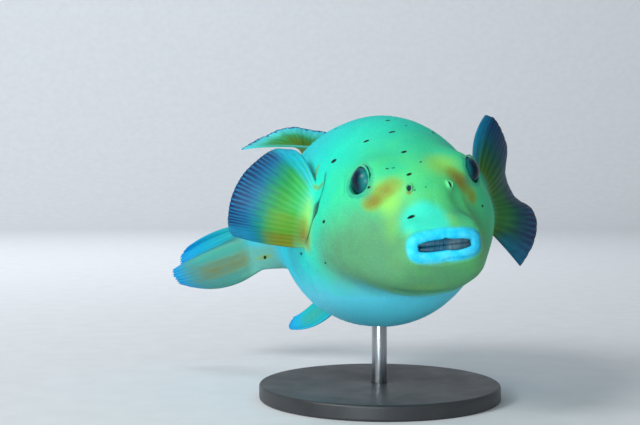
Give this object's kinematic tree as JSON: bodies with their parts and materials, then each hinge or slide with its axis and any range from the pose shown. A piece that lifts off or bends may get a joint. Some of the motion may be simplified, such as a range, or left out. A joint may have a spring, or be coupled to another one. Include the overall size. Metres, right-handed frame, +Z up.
{
  "type": "pufferfish",
  "caption": "Life-size still model of a plump yellow puffer turning as it swims, with beak, eyes and spread fins, held up on a round stand by a rod.",
  "frame": {"origin": "centre of the stand's underside, on the table", "axes": "+X is the fish's left, +Y runs from its mouth back towards its tail, +Z is up"},
  "size_m": [0.2347, 0.3087, 0.1877],
  "materials": {
    "yellow_skin": "satin, finely grained",
    "fin_membrane": "satin",
    "lip_skin": "satin",
    "eye_glass": "glossy, dark",
    "beak": "satin enamel",
    "nostril_flap": "satin",
    "stand_base_finish": "satin black",
    "stand_rod_steel": "brushed"
  },
  "bodies": {
    "root": {"head": "yellow_skin", "trunk": "yellow_skin", "tail_stalk": "yellow_skin", "lips": "lip_skin", "eye_left": "eye_glass", "eye_right": "eye_glass", "tooth_upper_left": "beak", "tooth_upper_right": "beak", "tooth_lower_left": "beak", "tooth_lower_right": "beak", "pectoral_fin_left": "fin_membrane", "pectoral_fin_right": "fin_membrane", "dorsal_fin": "fin_membrane", "anal_fin": "fin_membrane", "tail_fin": "fin_membrane", "nostril_left": "nostril_flap", "nostril_right": "nostril_flap", "stand_base": "stand_base_finish", "stand_rod": "stand_rod_steel"}
  },
  "joints": []
}
